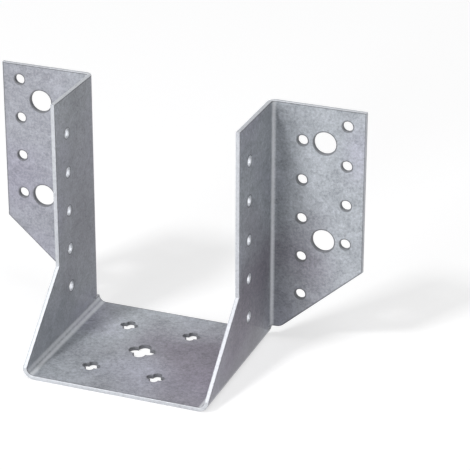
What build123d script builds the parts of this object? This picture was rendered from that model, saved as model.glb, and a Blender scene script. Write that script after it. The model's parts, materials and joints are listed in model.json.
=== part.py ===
from build123d import *
import os

# A joist hanger: one strip of zinc-coated steel sheet with a level seat, two upright sides and
# two wings that turn outwards against the header. It is cut and punched flat, then folded
# along four lines, so it is one solid.
# +X runs across the joist, +Y points at the header and +Z is up. The origin is the middle of
# the seat's underside. Sizes are in millimetres.

# The sheet and its folds.
sheet = 2.0  # thickness
seat_bend = 3.5  # inner radius of the two folds beside the seat
wing_bend = 2.0  # inner radius of the two folds to the wings
relief = 0.8  # width of the slit that parts each wing from the fold beside the seat

# The pocket that carries the joist.
inner_width = 90.0  # clear width between the sides
height = 124.0  # from the underside of the seat to the top edge
seat_depth = 84.0  # length of the seat under the joist
side_depth = 45.0  # depth of each side at the top, measured from the header
kink_height = 41.0  # where a side's front edge turns and slants out to the seat's front

# The wings.
wing_width = 46.0  # from the side's outer face to the free edge
free_edge_end = 42.5  # height of the free edge's lower end
foot_width = 5.0  # level stretch of the lower edge, next to the fold
foot_corner = 6.0  # radius between that stretch and the slanting lower edge

# Nail holes, and bolt holes for masonry.
nail_hole = 5.0  # diameter
nail_pitch = 20.0  # between the holes of one column
bolt_hole = 11.0  # diameter
bolt_pitch = 50.0  # between a wing's upper and lower bolt hole
hole_margin = 5.0  # least metal left between a column's lowest hole and the edge below it
inner_column = 15.0  # from the side's outer face to the wing's inner nail column
inner_top_gap = 18.0  # from the top edge to that column's first hole, and to the first bolt
outer_edge_gap = 9.0  # from the free edge to the wing's outer nail column
outer_top_gap = 8.0  # from the top edge to the outer column's first hole
side_column = 32.0  # from the header to the side's nail column
side_top_gap = 19.0  # from the top edge to the side's first hole

# Four-lobed holes in the seat: four small ones on a rectangle round a large one.
seat_small_hole = 8.5  # across two lobes
seat_large_hole = 13.0
seat_rows = 45.0  # between the front pair and the back pair
seat_pair = 33.0  # between the holes of a pair
seat_shift = -4.0  # of the whole group along X, from the middle of the seat
lobe_share = 0.46  # a lobe's diameter, as a share of the size across two lobes

# Worked out from the sizes above.
half_inside = inner_width / 2
half_outside = half_inside + sheet
header_face = seat_depth / 2
seat_front = -seat_depth / 2
side_front = header_face - side_depth
wing_front = header_face - sheet
fold_start = wing_front - wing_bend
fold_top = sheet + seat_bend
wing_foot = fold_top + relief
free_edge = half_outside + wing_width
edge_slope = (free_edge_end - wing_foot) / (wing_width - foot_width)
outer_column = wing_width - outer_edge_gap
bolt_column = (inner_column + outer_column) / 2


def strip_section(path):
    """The sheet's cross-section: a line along one face, thickened to the side on its right."""
    return make_face(offset(path, amount=sheet, side=Side.RIGHT))


def column(top_gap, pitch, lowest):
    """Heights of a column of holes, from the first one down to the last that fits."""
    top = height - top_gap
    count = int(max(0.0, top - lowest) / pitch) + 1
    return [top - row * pitch for row in range(count)]


def lower_edge(across):
    """Height of a wing's lower edge, this far out from the side's outer face."""
    return wing_foot + max(0.0, across - foot_width) * edge_slope


def wing_column(across, top_gap, pitch, hole):
    """Centres of one column of wing holes, as distance from the side's outer face and height."""
    lowest = lower_edge(across) + hole / 2 + hole_margin
    return [(across, z) for z in column(top_gap, pitch, lowest)]


def trough():
    """The seat and both sides: a U section, cut to the outline that a side shows from beside."""
    inside = FilletPolyline(
        (-half_inside, height),
        (-half_inside, sheet),
        (half_inside, sheet),
        (half_inside, height),
        radius=seat_bend,
    )
    channel = extrude(Plane.XZ * strip_section(inside), amount=header_face, both=True)
    outline = Polyline(
        (seat_front, 0),
        (seat_front, fold_top),
        (side_front, kink_height),
        (side_front, height),
        (fold_start, height),
        (fold_start, fold_top),
        (header_face, fold_top),
        (header_face, 0),
        close=True,
    )
    return channel & extrude(Plane.YZ * make_face(outline), amount=half_outside, both=True)


def right_wing():
    """The right-hand wing and its fold, cut to the outline that it shows from the front."""
    front_face = FilletPolyline(
        (free_edge, wing_front),
        (half_outside, wing_front),
        (half_outside, side_front),
        radius=wing_bend,
    )
    folded = extrude(strip_section(front_face), amount=height)
    foot_end = (half_outside + foot_width, wing_foot)
    outline = Polyline(
        (half_inside, height),
        (half_inside - foot_width, wing_foot),
        foot_end,
        (free_edge, free_edge_end),
        (free_edge, height),
        close=True,
    )
    face = make_face(outline)
    face = fillet(face.vertices().sort_by_distance(foot_end)[0], radius=foot_corner)
    punched = round_holes(wing_column(inner_column, inner_top_gap, nail_pitch, nail_hole), nail_hole)
    punched += round_holes(wing_column(outer_column, outer_top_gap, nail_pitch, nail_hole), nail_hole)
    punched += round_holes(wing_column(bolt_column, inner_top_gap, bolt_pitch, bolt_hole), bolt_hole)
    face -= Pos(half_outside, 0) * punched
    return folded & extrude(Plane.XZ * face, amount=header_face, both=True)


def round_holes(centres, diameter):
    """A sketch of round holes of one size."""
    return Sketch() + [Pos(*centre) * Circle(diameter / 2) for centre in centres]


def lobed_hole(size):
    """A sketch of one four-lobed hole: its lobes lie along X and Y, on a round middle."""
    lobe = size * lobe_share / 2
    ring = size / 2 - lobe
    centres = [(ring, 0), (0, ring), (-ring, 0), (0, -ring)]
    return Circle(ring) + round_holes(centres, 2 * lobe)


def side_cuts():
    """What is cut through both sides at once: the nail columns and the slits under the wings."""
    lowest = fold_top + nail_hole / 2 + hole_margin
    heights = column(side_top_gap, nail_pitch, lowest)
    cuts = round_holes([(header_face - side_column, z) for z in heights], nail_hole)
    slit_end = fold_start - relief / 2
    slit_middle = fold_top + relief / 2
    cuts += Pos(slit_end, slit_middle) * Circle(relief / 2)
    cuts += Pos(slit_end, slit_middle) * Rectangle(
        header_face - slit_end, relief, align=(Align.MIN, Align.CENTER)
    )
    return extrude(Plane.YZ * cuts, amount=half_outside, both=True)


def seat_cuts():
    """The four small lobed holes and the large one in their middle."""
    cuts = lobed_hole(seat_large_hole)
    cuts += [place * lobed_hole(seat_small_hole) for place in GridLocations(seat_pair, seat_rows, 2, 2)]
    return extrude(Pos(seat_shift, 0) * cuts, amount=sheet)


wing = right_wing()
hanger = trough() + wing + mirror(wing, about=Plane.YZ) - side_cuts() - seat_cuts()

os.makedirs("parts", exist_ok=True)
export_step(hanger, "parts/hanger.step")
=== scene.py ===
# %% [markdown]
# # A joist hanger folded from one zinc-coated sheet
# A joist hanger carries the end of a timber joist on the face of a header. It starts as a flat
# strip of steel, 2 mm thick and coated with zinc. A press cuts the outline and punches the
# holes, and a press brake then folds the strip along four lines: the two wings turn outwards
# and the two sides stand up from the seat.
# The visual piece is made in that same order: a flat blank in mesh code, then the folds as a
# rule in Geometry Nodes, then the zinc finish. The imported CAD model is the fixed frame, so
# every size below is read from it or repeats one of its named values.

# %% Load the frame
import json
import math

import bmesh
import bpy
from mathutils import Matrix, Vector
from mathutils.geometry import delaunay_2d_cdt


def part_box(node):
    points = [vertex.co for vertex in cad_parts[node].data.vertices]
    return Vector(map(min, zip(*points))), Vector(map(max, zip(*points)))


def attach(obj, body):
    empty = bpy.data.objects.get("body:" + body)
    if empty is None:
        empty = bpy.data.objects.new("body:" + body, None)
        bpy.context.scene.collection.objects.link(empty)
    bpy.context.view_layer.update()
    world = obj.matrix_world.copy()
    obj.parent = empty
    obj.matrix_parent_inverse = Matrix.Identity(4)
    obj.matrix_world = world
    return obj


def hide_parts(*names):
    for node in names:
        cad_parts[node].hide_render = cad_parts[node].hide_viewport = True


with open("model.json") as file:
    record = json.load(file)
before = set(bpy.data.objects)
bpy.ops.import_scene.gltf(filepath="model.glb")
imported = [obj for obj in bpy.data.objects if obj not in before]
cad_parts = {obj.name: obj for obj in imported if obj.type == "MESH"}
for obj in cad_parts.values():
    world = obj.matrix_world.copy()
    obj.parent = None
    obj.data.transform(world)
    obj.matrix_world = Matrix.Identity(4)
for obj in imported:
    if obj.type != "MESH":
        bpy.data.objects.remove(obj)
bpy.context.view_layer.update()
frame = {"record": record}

# %% [markdown]
# ## Sizes
# The box of the CAD node and the mounts in its record give the outside sizes, the sheet's
# thickness, the clear width and every hole column. Reading them keeps the visual piece on the
# CAD solid. Only the fold radii, the slit, the sides' depth and the lower edges repeat named
# values, because no mount states them.

# %% Sizes of the hanger, in metres
mm = 0.001
low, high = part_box("hanger")
mounts = {mount["name"]: mount for mount in frame["record"]["mounts"]}

free_edge = high[0]
seat_front = low[1]
header_face = high[1]
height = high[2]
sheet = mounts["joist_seat"]["pos_m"][2]
half_inside = mounts["joist_side_right"]["pos_m"][0]
half_outside = half_inside + sheet
wing_width = free_edge - half_outside

seat_bend = 3.5 * mm
wing_bend = 2 * mm
relief = 0.8 * mm
side_depth = 45 * mm
kink_height = 41 * mm
free_edge_end = 42.5 * mm
foot_width = 5 * mm
foot_corner = 6 * mm
same_place = 1e-6
print("sheet", sheet, "clear width", 2 * half_inside, "wing", round(wing_width, 4))

# %% [markdown]
# ## The flat layout
# A fold uses up a strip of sheet as long as its arc at mid thickness. So a height on a side, or
# a distance across a wing, has its place on the flat blank a little nearer to the middle than
# its outside size says. Two small functions turn finished places into flat ones. On the blank,
# X is the developed length across the joist and Y the depth.

# %% From finished places to flat ones
quarter_turn = math.pi / 2
seat_line = half_inside - seat_bend
seat_arc = (seat_bend + sheet / 2) * quarter_turn
fold_top = sheet + seat_bend
wing_line = header_face - sheet - wing_bend
wing_arc = (wing_bend + sheet / 2) * quarter_turn
wing_foot = fold_top + relief


def flat_height(z):
    """Flat X of a height on the right side or wing."""
    return seat_line + seat_arc + z - fold_top


def flat_across(across):
    """Flat Y of a distance on a wing, measured out from the side's outer face."""
    return wing_line + wing_arc + across - wing_bend


blank_end = flat_height(height)
print("blank", round(2 * blank_end / mm, 1), "mm long, arcs",
      round(seat_arc / mm, 2), round(wing_arc / mm, 2))

# %% [markdown]
# ## The outline of the blank
# The press shears straight edges, so the outline is a list of corners, with one rounded corner
# at each wing's foot and the round end of the slit that frees the wing from the seat's fold.
# Where the outline crosses a fold it gets one more point for each step of that fold, because
# the mesh can only bend where it has a line of points. The first and last step have a holding
# line close by, which keeps the flat panels shaded flat.

# %% Outline of the right half
seat_steps = 8
wing_steps = 8
holding = 0.3 * mm
corner_steps = 8


def fold_steps(line, arc_length, steps):
    """Places of a fold's lines: its steps, and a holding line before and after them."""
    inside = [line + arc_length * step / steps for step in range(steps + 1)]
    return [line - holding] + inside + [line + arc_length + holding]


def arc(centre, radius, start, end, steps):
    """Points on an arc, from one angle in degrees to another."""
    turn = [math.radians(start + (end - start) * step / steps) for step in range(steps + 1)]
    return [(centre[0] + radius * math.cos(a), centre[1] + radius * math.sin(a)) for a in turn]


def split_at(points, axis, places):
    """The same line of points, with one more where it crosses each of the places."""
    result = [points[0]]
    for a, b in zip(points, points[1:]):
        first, last = sorted((a[axis], b[axis]))
        crossed = [place for place in places if first + same_place < place < last - same_place]
        for place in sorted(crossed, reverse=b[axis] < a[axis]):
            share = (place - a[axis]) / (b[axis] - a[axis])
            result.append((a[0] + (b[0] - a[0]) * share, a[1] + (b[1] - a[1]) * share))
        result.append(b)
    return result


seat_lines = fold_steps(seat_line, seat_arc, seat_steps)
wing_lines = fold_steps(wing_line, wing_arc, wing_steps)
slant = math.atan2(free_edge_end - wing_foot, wing_width - foot_width)
foot_start = foot_width - foot_corner * math.tan(slant / 2)
corner_centre = (flat_height(wing_foot) + foot_corner, flat_across(foot_start))
slit_end = (flat_height(wing_foot) - relief / 2, wing_line - relief / 2)
side_front = header_face - side_depth

front_edge = [
    (0, seat_front),
    (flat_height(fold_top), seat_front),
    (flat_height(kink_height), side_front),
    (blank_end, side_front),
]
top_edge = [(blank_end, side_front), (blank_end, flat_across(wing_width))]
free_end = [(flat_height(free_edge_end), flat_across(wing_width))]
foot_arc = arc(corner_centre, foot_corner, 180 - math.degrees(slant), 180, corner_steps)
foot_line = [foot_arc[-1], (flat_height(wing_foot), slit_end[1])]
slit_round = arc(slit_end, relief / 2, 0, -180, corner_steps)
back_edge = [(flat_height(fold_top), header_face), (0, header_face)]

right_half = split_at(front_edge, 0, seat_lines)[:-1]
right_half += split_at(top_edge, 1, wing_lines) + free_end + foot_arc[:-1]
right_half += split_at(foot_line, 1, wing_lines)[:-1]
right_half += slit_round + split_at(back_edge, 0, seat_lines)
outline = right_half + [(-x, y) for x, y in reversed(right_half[1:-1])]
print(len(outline), "points round the blank")

# %% [markdown]
# ## The punched holes
# Nail holes stand in columns of one pitch, and each wing also has two larger bolt holes. The
# record's mounts give each column's middle and reach. The seat has five holes of four lobes,
# which hold a nail or screw at any slant: their outline is four arcs that meet in points.
# The holes are outlines here and not cutters, because the triangulation below needs their
# points as constraints.

# %% Hole outlines on the blank
nail_pitch = 20 * mm
bolt_pitch = 50 * mm
nail_points = 40
bolt_points = 64
seat_small_hole = 8.5 * mm
seat_large_hole = 13 * mm
seat_rows = 45 * mm
seat_pair = 33 * mm
lobe_share = 0.46
large_lobe_points = 16
small_lobe_points = 14


def column_heights(mount, pitch):
    """Heights of a mount's holes, from the lowest to the highest at this pitch."""
    reach = mount["dims"]["spacing_y_mm"] * mm
    count = round(reach / pitch) + 1
    return [mount["pos_m"][2] - reach / 2 + pitch * row for row in range(count)]


def round_hole(x, y, radius, points):
    """A round hole's outline, clockwise, so that the metal is on its left."""
    return arc((x, y), radius, 0, -360, points)[:-1]


def lobed_hole(x, y, size, points):
    """A four-lobed hole's outline, clockwise."""
    lobe = size * lobe_share / 2
    ring = size / 2 - lobe
    cusp = ring / 2 + math.sqrt(lobe**2 / 2 - ring**2 / 4)
    reach = math.degrees(math.atan2(cusp, cusp - ring))
    lobes = []
    for quarter in (0, -90, -180, -270):
        turn = math.radians(quarter)
        centre = (x + ring * math.cos(turn), y + ring * math.sin(turn))
        lobes += arc(centre, lobe, quarter + reach, quarter - reach, points)[:-1]
    return lobes


def wing_holes(name, pitch, points):
    """The holes of one wing column, on both wings."""
    mount = mounts[name]
    x = mount["dims"]["spacing_x_mm"] * mm / 2
    radius = mount["dims"]["hole_r_mm"] * mm
    places = [(flat_height(z), flat_across(x - half_outside)) for z in column_heights(mount, pitch)]
    return [round_hole(side * a, b, radius, points) for side in (1, -1) for a, b in places]


holes = wing_holes("header_nails_inner_wide", nail_pitch, nail_points)
holes += wing_holes("header_nails_outer_wide", nail_pitch, nail_points)
holes += wing_holes("header_bolts", bolt_pitch, bolt_points)

side_nails = mounts["joist_nails_right_wide"]
side_radius = side_nails["dims"]["hole_r_mm"] * mm
side_holes = []
for z in column_heights(side_nails, nail_pitch):
    for side in (1, -1):
        x = side * flat_height(z)
        side_holes.append(round_hole(x, side_nails["pos_m"][1], side_radius, nail_points))
holes += side_holes

seat_x, seat_y = mounts["seat_screws"]["pos_m"][:2]
lobed_holes = [lobed_hole(seat_x, seat_y, seat_large_hole, large_lobe_points)]
for right in (-1, 1):
    for back in (-1, 1):
        place = (seat_x + right * seat_pair / 2, seat_y + back * seat_rows / 2)
        lobed_holes.append(lobed_hole(*place, seat_small_hole, small_lobe_points))
holes += lobed_holes
print(len(holes), "holes")

# %% [markdown]
# ## The blank as a mesh
# A sheared edge isn't knife-sharp: the punch rolls it over by a quarter of a millimetre, and
# that small round is what catches the light along every edge. So each outline becomes a stack
# of rings that runs over the rounded upper edge, down the cut wall and round the lower edge.
# Between the innermost rings a constrained triangulation fills the flat faces, with the folds'
# lines as constraints. Point attributes mark the sheared edges, the walls of the wing and seat
# holes, which get painted shade, and a thin painted shade line just inside every cut edge.

# %% Rings over the cut edge
edge_round = 0.25 * mm
support = 0.15 * mm
rim_shade_line_width = 0.4 * mm
lobed_inset = 0.55
turns = [math.radians(a) for a in (0, 30, 60, 90)]
upper = [(edge_round * (1 - math.sin(a)), sheet - edge_round * (1 - math.cos(a))) for a in turns]
profile = [(edge_round + support + rim_shade_line_width, sheet), (edge_round + support, sheet)] + upper
profile += [(inset, sheet - z) for inset, z in reversed(profile)]
on_cut = [0, 0, 0, 1, 1, 1, 1, 1, 1, 0, 0, 0]
# Painted shade: the rings marked here carry the thin dark line just inside every cut edge.
on_rim_shade_line = [0, 1, 1, 0, 0, 0, 0, 0, 0, 1, 1, 0]


def inset_loop(loop, distance):
    """The loop moved to its left, into the metal, by this distance."""
    result = []
    for i, here in enumerate(loop):
        before = Vector(here) - Vector(loop[i - 1])
        after = Vector(loop[(i + 1) % len(loop)]) - Vector(here)
        a = Vector((-before.y, before.x)).normalized()
        b = Vector((-after.y, after.x)).normalized()
        result.append(Vector(here) + (a + b) * distance / (1 + a.dot(b)))
    return result


def inset_share(loop):
    """How much of each ring's inset a loop takes: less where lobes meet in points."""
    return lobed_inset if loop in lobed_holes else 1.0


def is_inside(point, loop):
    """True where a point lies inside a closed loop."""
    crossings = 0
    for a, b in zip(loop, loop[1:] + loop[:1]):
        if (a[1] > point[1]) != (b[1] > point[1]):
            crossings += point[0] < a[0] + (b[0] - a[0]) * (point[1] - a[1]) / (b[1] - a[1])
    return crossings % 2 == 1


# %% [markdown]
# ## Fold lines across the blank
# Each line of a fold joins two points of the outline that were added for it. A seat line stops
# at the slit once it is past the fold, because the wing beyond the slit moves with the side.

# %% Fold lines that the triangulation keeps
def nearest(x, y):
    """Index of the outline's point nearest to a place."""
    target = Vector((x, y))
    return min(range(len(outline)), key=lambda i: (Vector(outline[i]) - target).length_squared)


fold_edges = []
for side in (1, -1):
    for place in seat_lines:
        back = header_face if place < seat_line + seat_arc - same_place else slit_end[1]
        fold_edges.append((nearest(side * place, seat_front), nearest(side * place, back)))
    for place in wing_lines:
        foot = side * flat_height(wing_foot)
        fold_edges.append((nearest(foot, place), nearest(side * blank_end, place)))
print(len(fold_edges), "fold lines")

# %% [markdown]
# ## Fill and close the blank
# The triangulation returns its points with the input points they came from, so each triangle
# is used twice: once on the upper face and, turned over, on the lower one. Triangles outside
# the outline or inside a hole are left out. The rings then close the wall between both faces.

# %% Build the blank
loops = [outline] + holes
merge_distance = 1e-9


def build_blank():
    """The flat blank: triangulated faces, joined by the rings over every cut edge."""
    points = []
    marks = []
    punched = []
    rim_shade_line_marks = []
    faces = []
    first_rings = []
    last_rings = []
    for loop in loops:
        rings = []
        # The walls of the wing and seat holes get painted shade; the outline and the side holes keep
        # the sheared colour.
        keeps_sheared_colour = loop is outline or loop in side_holes
        for (inset, z), mark, rim_shade_line_mark in zip(profile, on_cut, on_rim_shade_line):
            rings.append(range(len(points), len(points) + len(loop)))
            points += [(p.x, p.y, z) for p in inset_loop(loop, inset * inset_share(loop))]
            marks += [mark * keeps_sheared_colour] * len(loop)
            punched += [mark * (not keeps_sheared_colour)] * len(loop)
            rim_shade_line_marks += [rim_shade_line_mark] * len(loop)
        for upper_ring, lower_ring in zip(rings, rings[1:]):
            for i in range(len(loop)):
                j = (i + 1) % len(loop)
                faces.append((upper_ring[i], lower_ring[i], lower_ring[j], upper_ring[j]))
        first_rings += rings[0]
        last_rings += rings[-1]
    flat = [Vector(points[i][:2]) for i in first_rings]
    face_edge, *hole_edges = [inset_loop(loop, profile[0][0] * inset_share(loop)) for loop in loops]
    edges = list(fold_edges)
    start = 0
    for loop in loops:
        edges += [(start + i, start + (i + 1) % len(loop)) for i in range(len(loop))]
        start += len(loop)
    places, _, triangles, origins = delaunay_2d_cdt(flat, edges, [], 1, merge_distance)[:4]
    print("triangulation:", len(flat), "points in,", len(places), "out")
    for face in triangles:
        middle = sum((places[i] for i in face), Vector((0, 0))) / 3
        if not is_inside(middle, face_edge) or any(is_inside(middle, edge) for edge in hole_edges):
            continue
        corners = [origins[i][0] for i in face]
        faces.append(tuple(first_rings[i] for i in corners))
        faces.append(tuple(last_rings[i] for i in reversed(corners)))
    mesh = bpy.data.meshes.new("hanger_blank")
    mesh.from_pydata(points, [], faces)
    for name, values in (("cut_metal", marks), ("punched", punched), ("rim", rim_shade_line_marks)):
        mesh.attributes.new(name, "FLOAT", "POINT").data.foreach_set("value", values)
    return mesh


blank = bpy.data.objects.new("folded_sheet", build_blank())
bpy.context.scene.collection.objects.link(blank)
print("blank:", len(blank.data.vertices), "points,", len(blank.data.polygons), "faces")

# %% [markdown]
# ## Node maths as plain Python
# Both the folds and the zinc finish are sums over node sockets. A small class wraps one socket,
# so that a formula is written with + - * / as on paper and each sign adds its Math node. One
# more method makes any other node from its type, its settings and its inputs.

# %% Wires and trees
class Wire:
    """One output socket, used in formulas."""

    def __init__(self, tree, socket):
        self.tree = tree
        self.socket = socket

    def math(self, operation, *others):
        """A Math node with this wire first."""
        node = self.tree.node("ShaderNodeMath", {"operation": operation})
        for target, value in zip(node.inputs, (self,) + others):
            self.tree.plug(value, target)
        return Wire(self.tree, node.outputs[0])

    def __add__(self, other):
        return self.math("ADD", other)

    def __sub__(self, other):
        return self.math("SUBTRACT", other)

    def __mul__(self, other):
        return self.math("MULTIPLY", other)

    def __truediv__(self, other):
        return self.math("DIVIDE", other)

    def __rsub__(self, other):
        return self * -1 + other

    def __neg__(self):
        return self * -1

    __radd__ = __add__
    __rmul__ = __mul__

    def between(self, lowest, highest):
        """This value, kept between two limits."""
        return self.math("MAXIMUM", lowest).math("MINIMUM", highest)

    def step(self, start, end):
        """0 before start, 1 after end, and a smooth rise between them."""
        node = self.tree.node("ShaderNodeMapRange", {"interpolation_type": "SMOOTHSTEP"},
                              {"Value": self, "From Min": start, "From Max": end})
        return Wire(self.tree, node.outputs[0])


class Tree:
    """A node tree that formulas are written into."""

    def __init__(self, node_tree):
        self.node_tree = node_tree

    def plug(self, value, target):
        """Links a wire to an input, or writes a plain value there."""
        if isinstance(value, Wire):
            self.node_tree.links.new(value.socket, target)
        else:
            target.default_value = value

    def node(self, kind, settings=None, inputs=None):
        """Any node: its settings first, then its inputs by name or number."""
        made = self.node_tree.nodes.new(kind)
        for name, value in (settings or {}).items():
            setattr(made, name, value)
        for name, value in (inputs or {}).items():
            self.plug(value, made.inputs[name])
        return made

    def out(self, kind, settings=None, inputs=None, output=0):
        """Any node, as the wire of one of its outputs."""
        return Wire(self, self.node(kind, settings, inputs).outputs[output])


# %% [markdown]
# ## The folds
# A fold is one rule: in front of its line nothing moves, along its arc the sheet turns about
# the fold's centre, and past the arc it goes on straight at a right angle. The wings fold first,
# away from the upper face and only beyond the slit, then both sides fold up. The rule lives in
# a Geometry Nodes tree, so the radii and lines are inputs that can be tried by hand. Its values
# are fields, so one seat fold gives the angle on the flat blank and the places after the wings.
# The tree also keeps the flat place of each point, for scratches that follow the sheet, and a
# share for each bend that is both burnish and painted highlight: one bright line in a wing's fold
# and two in the seat's.

# %% The folding tree
def fold(along, up, line, radius, thickness, side):
    """New place along and up after a fold, and the angle turned."""
    arc_length = (radius + thickness / 2) * quarter_turn
    past = along - line
    angle = past.between(0, arc_length) / arc_length * quarter_turn
    centre = (thickness + radius) if side > 0 else -radius
    reach = (centre - up) * side
    new_along = line + past.math("MINIMUM", 0) + reach * angle.math("SINE")
    beyond = (past - arc_length).math("MAXIMUM", 0)
    new_up = centre - reach * angle.math("COSINE") * side + beyond * side
    return new_along, new_up, angle


def folding_tree():
    """The tree that folds the blank, with its sizes as named inputs."""
    group = bpy.data.node_groups.new("fold_hanger", "GeometryNodeTree")
    group.interface.new_socket("Geometry", in_out="INPUT", socket_type="NodeSocketGeometry")
    for name in ("Sheet", "Seat Line", "Seat Bend", "Wing Line", "Wing Bend", "Slit"):
        group.interface.new_socket(name, in_out="INPUT", socket_type="NodeSocketFloat")
    group.interface.new_socket("Finish", in_out="INPUT", socket_type="NodeSocketMaterial")
    group.interface.new_socket("Geometry", in_out="OUTPUT", socket_type="NodeSocketGeometry")
    tree = Tree(group)
    given = tree.node("NodeGroupInput")
    sizes = {socket.name: Wire(tree, socket) for socket in given.outputs if socket.name}

    place = tree.out("GeometryNodeInputPosition")
    split = tree.node("ShaderNodeSeparateXYZ", None, {0: place})
    x, y, z = [Wire(tree, socket) for socket in split.outputs]
    wing_fold = [sizes[name] for name in ("Wing Line", "Wing Bend", "Sheet")]
    seat_fold = [sizes[name] for name in ("Seat Line", "Seat Bend", "Sheet")]
    across = x.math("ABSOLUTE")
    on_wing = across.math("GREATER_THAN", sizes["Slit"])
    wing_y, wing_z, wing_angle = fold(y, z, *wing_fold, -1)
    side_x, side_z, seat_angle = fold(across, z, *seat_fold, 1)
    # Bright lines in the folds: burnish, which lowers the roughness, and a painted highlight in the
    # colour.
    wing_burnish_and_highlight = (wing_angle * 2).math("SINE") * on_wing
    seat_burnish_and_highlight = (seat_angle * 4).math("SINE").math("ABSOLUTE")
    burnish = wing_burnish_and_highlight.math("MAXIMUM", seat_burnish_and_highlight)

    keep_flat = {"data_type": "FLOAT_VECTOR", "domain": "POINT"}
    geometry = tree.out("GeometryNodeStoreNamedAttribute", keep_flat,
                        {"Geometry": sizes["Geometry"], "Name": "flat_place", "Value": place})
    geometry = tree.out("GeometryNodeStoreNamedAttribute", {"data_type": "FLOAT", "domain": "POINT"},
                        {"Geometry": geometry, "Name": "burnish", "Value": burnish})
    moved = tree.out("ShaderNodeCombineXYZ", None, {0: x, 1: wing_y, 2: wing_z})
    geometry = tree.out("GeometryNodeSetPosition", None,
                        {"Geometry": geometry, "Selection": on_wing, "Position": moved})

    moved = tree.out("ShaderNodeCombineXYZ", None, {0: side_x * x.math("SIGN"), 1: y, 2: side_z})
    geometry = tree.out("GeometryNodeSetPosition", None, {"Geometry": geometry, "Position": moved})
    geometry = tree.out("GeometryNodeRealizeInstances", None, {"Geometry": geometry})
    geometry = tree.out("GeometryNodeSetMaterial", None,
                        {"Geometry": geometry, "Material": sizes["Finish"]})
    tree.node("NodeGroupOutput", None, {"Geometry": geometry})
    return group


# %% [markdown]
# ## The zinc finish
# Hot-dip zinc sets as small crystals, each a slightly different grey, and dulls to a bluish
# grey with cloudy patches. The dull layer is rough and only partly metallic, so its reflections
# are broad sheens. Handling leaves faint straight scratches along the strip. The folds are
# burnished by the tool, which makes them less rough, and their bright lines are a painted
# highlight in the colour. The sheared edges are brighter because the shear wiped them clean.
# A thin dark line just inside every cut edge and the dark walls of the wing and seat holes are
# painted shade. Painted shade also darkens a patch round the foot of the right side, and a
# faint darker patch lies on the left wing: both multiply the zinc, so its mottle stays. All of
# it is worked out from Object coordinates in millimetres and from the attributes of the blank.

# %% Zinc material
to_mm = (1000, 1000, 1000)
# Where the painted shade at the right side's foot and the darker patch on the left wing lie.
painted_foot_shade_centre = (40, -12, 12)
painted_foot_shade_radii = (15, 75)
painted_foot_shade_wander = 120
left_wing_darkening_centre = (-85, 42, 70)
left_wing_darkening_radii = (35, 85)
left_wing_darkening_wander = 60

dark_zinc = (0.24, 0.257, 0.28, 1)
pale_zinc = (0.56, 0.59, 0.635, 1)
# The first of these tints is painted shade at the right side's foot; the second darkens the left
# wing.
painted_foot_shade_tint = (0.52, 0.44, 0.50, 1)
left_wing_darkening_tint = (0.80, 0.775, 0.80, 1)
lilac_tint = (0.92, 0.86, 0.98, 1)
scratch_grey = (0.62, 0.64, 0.67, 1)
# The fold grey is a painted highlight; the rim and hole-wall greys are painted shade.
painted_fold_highlight_grey = (0.74, 0.76, 0.79, 1)
rim_painted_shade_grey = (0.11, 0.113, 0.12, 1)
sheared_grey = (0.58, 0.60, 0.63, 1)
hole_wall_painted_shade_grey = (0.12, 0.125, 0.135, 1)


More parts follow.
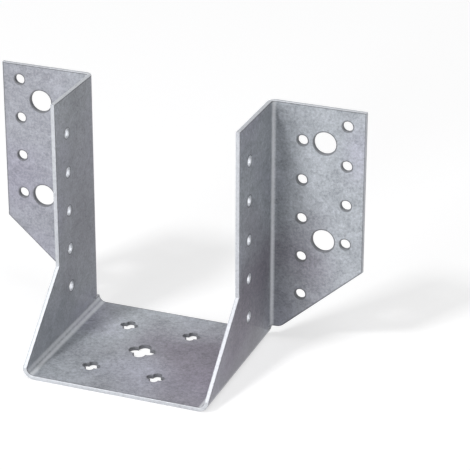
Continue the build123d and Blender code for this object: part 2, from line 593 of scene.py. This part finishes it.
def zinc_sheet_material():
    """Mottled grey zinc with bright cut edges, burnished folds with painted highlights, and painted
    shade.
    """
    material = bpy.data.materials.new("zinc_sheet")
    material.use_nodes = True
    tree = Tree(material.node_tree)
    shader = material.node_tree.nodes["Principled BSDF"]

    def noise(place, scale, detail=2.0, roughness=0.5):
        """A noise value over a place."""
        return tree.out("ShaderNodeTexNoise", None,
                        {"Vector": place, "Scale": scale, "Detail": detail, "Roughness": roughness})

    def stretched(place, x, y, z):
        """A place with each direction scaled by its own number."""
        return tree.out("ShaderNodeVectorMath", {"operation": "MULTIPLY"}, {0: place, 1: (x, y, z)})

    def blend(share, a, b, kind="MIX"):
        """Colour a, changed towards b by a share, or multiplied by b."""
        node = tree.node("ShaderNodeMix", {"data_type": "RGBA", "blend_type": kind})
        tree.plug(share, node.inputs["Factor"])
        tree.plug(a, node.inputs[6])
        tree.plug(b, node.inputs[7])
        return Wire(tree, node.outputs[2])

    def marked(name):
        """A number that each point of the mesh carries."""
        return tree.out("ShaderNodeAttribute", {"attribute_name": name}, None, "Fac")

    def near(centre, radii, wander):
        """1 inside the smaller radius, 0 outside the larger, with a wandering border."""
        away = tree.out("ShaderNodeVectorMath", {"operation": "DISTANCE"}, {0: place, 1: centre}, 1)
        return 1 - (away + (tint - 0.5) * wander).step(*radii)

    place = stretched(tree.out("ShaderNodeTexCoord", output=3), *to_mm)
    flat = tree.out("ShaderNodeAttribute", {"attribute_name": "flat_place"}, None, "Vector")
    flat_mm = stretched(flat, *to_mm)
    cut = marked("cut_metal")
    punched = marked("punched")
    rim = marked("rim")
    burnish = marked("burnish")

    mottle = noise(place, 0.8, 3.0, 0.6)
    grain = noise(place, 2.4)
    clouds = noise(place, 0.035)
    patches = noise(place, 0.16)
    tint = noise(place, 0.02, 1.0)
    crystals = tree.out("ShaderNodeTexVoronoi", None,
                        {"Vector": place, "Scale": 0.42, "Randomness": 1.0}, "Color")
    crystal = tree.out("ShaderNodeSeparateColor", None, {0: crystals})
    long_scratch = noise(stretched(flat_mm, 0.035, 1.9, 1.0), 1.0, 3.0).step(0.66, 0.72)
    cross_scratch = noise(stretched(flat_mm, 1.6, 0.05, 1.0), 1.0, 3.0).step(0.69, 0.75)
    scratch = long_scratch.math("MAXIMUM", cross_scratch)

    tone = 0.5 + (mottle - 0.5) * 1.4 + (crystal - 0.5) * 0.25 + (grain - 0.5) * 0.9
    tone = tone + (clouds - 0.5) * 0.5 + (patches - 0.5) * 0.5
    zinc = blend(tone.between(0, 1), dark_zinc, pale_zinc)
    # Painted shade: a darker patch round the foot of the right side.
    painted_foot_shade = near(painted_foot_shade_centre, painted_foot_shade_radii, painted_foot_shade_wander)
    zinc = blend(painted_foot_shade * 0.85, zinc, painted_foot_shade_tint, "MULTIPLY")
    # A faint darker patch on the left wing.
    zinc = blend(near(left_wing_darkening_centre, left_wing_darkening_radii, left_wing_darkening_wander), zinc, left_wing_darkening_tint, "MULTIPLY")
    zinc = blend(tint.step(0.45, 0.7) * 0.5, zinc, lilac_tint, "MULTIPLY")
    zinc = blend(scratch * 0.25, zinc, scratch_grey)
    # Painted highlight: the bright lines along the folds.
    zinc = blend((burnish * 0.7).between(0, 1), zinc, painted_fold_highlight_grey)
    # Painted shade: the thin dark line just inside every cut edge.
    zinc = blend(rim * 0.8, zinc, rim_painted_shade_grey)
    zinc = blend(cut * (0.75 + (mottle - 0.5) * 0.8), zinc, sheared_grey)
    # Painted shade: the walls of the wing and seat holes are darkened.
    zinc = blend(punched * 0.75, zinc, hole_wall_painted_shade_grey)
    tree.plug(zinc, shader.inputs["Base Color"])

    roughness = 0.54 + (mottle - 0.5) * 0.25 + (crystal - 0.5) * 0.08 - scratch * 0.06
    roughness = roughness - burnish * 0.12 - cut * 0.05
    tree.plug(roughness.between(0.2, 0.75), shader.inputs["Roughness"])
    tree.plug(0.3 + (crystal - 0.5) * 0.06, shader.inputs["Metallic"])

    relief_height = mottle * 0.6 + grain * 0.25 + crystal * 0.15 - scratch * 0.15
    bump = tree.out("ShaderNodeBump", None,
                    {"Height": relief_height, "Strength": 0.35, "Distance": 0.1 * mm})
    tree.plug(bump, shader.inputs["Normal"])
    return material


zinc_sheet = zinc_sheet_material()
print("finish:", zinc_sheet.name, len(zinc_sheet.node_tree.nodes), "nodes")

# %% [markdown]
# ## Fold, bake and stand in for the CAD node
# The modifier's inputs are set by their sockets' identifiers before the object is evaluated.
# The evaluated result is then copied to a plain mesh, the modifier goes, and edges sharper than
# the steps of the rounded edge are marked sharp.

# %% Fold the blank
sharp_above = math.radians(40)
folding = blank.modifiers.new("fold", "NODES")
folding.node_group = folding_tree()
given_sizes = {
    "Sheet": sheet,
    "Seat Line": seat_line,
    "Seat Bend": seat_bend,
    "Wing Line": wing_line,
    "Wing Bend": wing_bend,
    "Slit": flat_height(fold_top) + relief / 2,
    "Finish": zinc_sheet,
}
for item in folding.node_group.interface.items_tree:
    if item.name in given_sizes:
        folding[item.identifier] = given_sizes[item.name]

bpy.context.view_layer.update()
depsgraph = bpy.context.evaluated_depsgraph_get()
evaluated = blank.evaluated_get(depsgraph)
folded = bpy.data.meshes.new_from_object(
    evaluated, preserve_all_data_layers=True, depsgraph=depsgraph)
blank.modifiers.clear()
blank.data = folded
folded.name = "folded_sheet"
folded.shade_smooth()
folded.set_sharp_from_angle(angle=sharp_above)
print("folded:", len(folded.vertices), "points,", len(folded.polygons), "faces")

check = bmesh.new()
check.from_mesh(folded)
print("open edges:", sum(not edge.is_manifold for edge in check.edges), "volume cm3:",
      round(check.calc_volume(signed=True) * 1e6, 2))
check.free()

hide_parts("hanger")
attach(blank, "root")

# %% [markdown]
# ## Floor
# The hanger stands on a plain white floor that runs to a white surround. For the camera and in
# reflections the floor adds a little light of its own, so it reads as white paper and still
# keeps the soft shadow.

# %% Floor
paper_colour = (0.8, 0.8, 0.805, 1)
glow_strength = 1.58
glow_share = 0.4
floor_half = 4.0
floor_drop = 0.1 * mm


def seen_rays(tree):
    """1 for rays from the camera, from reflections and through glass."""
    path = tree.node("ShaderNodeLightPath")
    seen = Wire(tree, path.outputs["Is Camera Ray"])
    seen = seen.math("MAXIMUM", Wire(tree, path.outputs["Is Glossy Ray"]))
    return seen.math("MAXIMUM", Wire(tree, path.outputs["Is Transmission Ray"]))


def floor_material():
    """Matt white paper that reads as white and keeps a shadow."""
    material = bpy.data.materials.new("white_paper")
    material.use_nodes = True
    tree = Tree(material.node_tree)
    material.node_tree.nodes.remove(material.node_tree.nodes["Principled BSDF"])
    paper = tree.out("ShaderNodeBsdfDiffuse", None, {"Color": paper_colour})
    glow = tree.out("ShaderNodeEmission", None, {"Color": (1, 1, 1, 1), "Strength": glow_strength})
    share = seen_rays(tree) * glow_share
    mixed = tree.out("ShaderNodeMixShader", None, {0: share, 1: paper, 2: glow})
    output = material.node_tree.nodes["Material Output"]
    tree.plug(mixed, output.inputs["Surface"])
    return material


floor_mesh = bpy.data.meshes.new("floor")
corners = [(-1, -1), (1, -1), (1, 1), (-1, 1)]
corners = [(x * floor_half, y * floor_half, -floor_drop) for x, y in corners]
floor_mesh.from_pydata(corners, [], [(0, 1, 2, 3)])
floor_mesh.materials.append(floor_material())
floor = bpy.data.objects.new("floor", floor_mesh)
bpy.context.scene.collection.objects.link(floor)
print("floor:", 2 * floor_half, "m square")

# %% [markdown]
# ## Surround
# The surround is white to the camera and in reflections, but gives the hanger only a little
# light, so that its faces keep their own tones.

# %% World
world = bpy.data.worlds.new("white_surround")
bpy.context.scene.world = world
world.use_nodes = True
world_tree = Tree(world.node_tree)
ambient = 0.16
surround = world.node_tree.nodes["Background"]
surround.inputs["Color"].default_value = (1, 1, 1, 1)
world_tree.plug(ambient + seen_rays(world_tree) * (1 - ambient), surround.inputs["Strength"])
print("ambient strength", ambient)

# %% [markdown]
# ## Lamps
# Three square lamps stand far off, so the floor is lit evenly. The smallest and strongest is
# high at the front left and casts the soft shadow. A low one fills from the front, and a wide,
# weak one hangs almost overhead. The outer faces of the right side and wing stay darker.

# %% Lamps
lamp_distance = 4.0
lamp_target = Vector((0, 0, 50 * mm))


def add_lamp(name, direction, size, power):
    """A square lamp that looks at the hanger from a direction."""
    light = bpy.data.lights.new(name, "AREA")
    light.size = size
    light.energy = power
    lamp = bpy.data.objects.new(name, light)
    away = Vector(direction).normalized()
    lamp.location = lamp_target + away * lamp_distance
    lamp.rotation_euler = away.to_track_quat("Z", "Y").to_euler()
    bpy.context.scene.collection.objects.link(lamp)


add_lamp("key_lamp", (-0.40, -0.75, 1.0), size=0.6, power=82.0)
add_lamp("fill_lamp", (-0.30, -1.0, 0.2), size=1.2, power=66.0)
add_lamp("top_lamp", (0.28, -0.15, 1.0), size=1.8, power=36.0)
print("lamps placed")

# %% [markdown]
# ## Camera
# A long lens from the front right and a little above, as for a catalogue picture. The camera
# looks at a point on the hanger and steps back along that direction. Its upright differs from
# the world's by a sixth of a degree, as on a tripod that isn't quite level.

# %% Camera
look_at = Vector((42.93, 2.0, 70.47)) * mm
azimuth = math.radians(20.97)
elevation = math.radians(24.89)
distance = 1040.4 * mm
roll = math.radians(0.164)
sensor_width = 36
lens_length = 172.57

away = Vector((
    math.sin(azimuth) * math.cos(elevation),
    -math.cos(azimuth) * math.cos(elevation),
    math.sin(elevation),
))
camera_data = bpy.data.cameras.new("camera")
camera_data.sensor_width = sensor_width
camera_data.lens = lens_length
camera = bpy.data.objects.new("camera", camera_data)
turned = away.to_track_quat("Z", "Y").to_matrix().to_4x4() @ Matrix.Rotation(roll, 4, "Z")
camera.matrix_world = Matrix.Translation(look_at + away * distance) @ turned
bpy.context.scene.collection.objects.link(camera)
bpy.context.scene.camera = camera
bpy.context.scene.view_settings.view_transform = "Standard"
print("lens", round(camera_data.lens, 1), "mm")
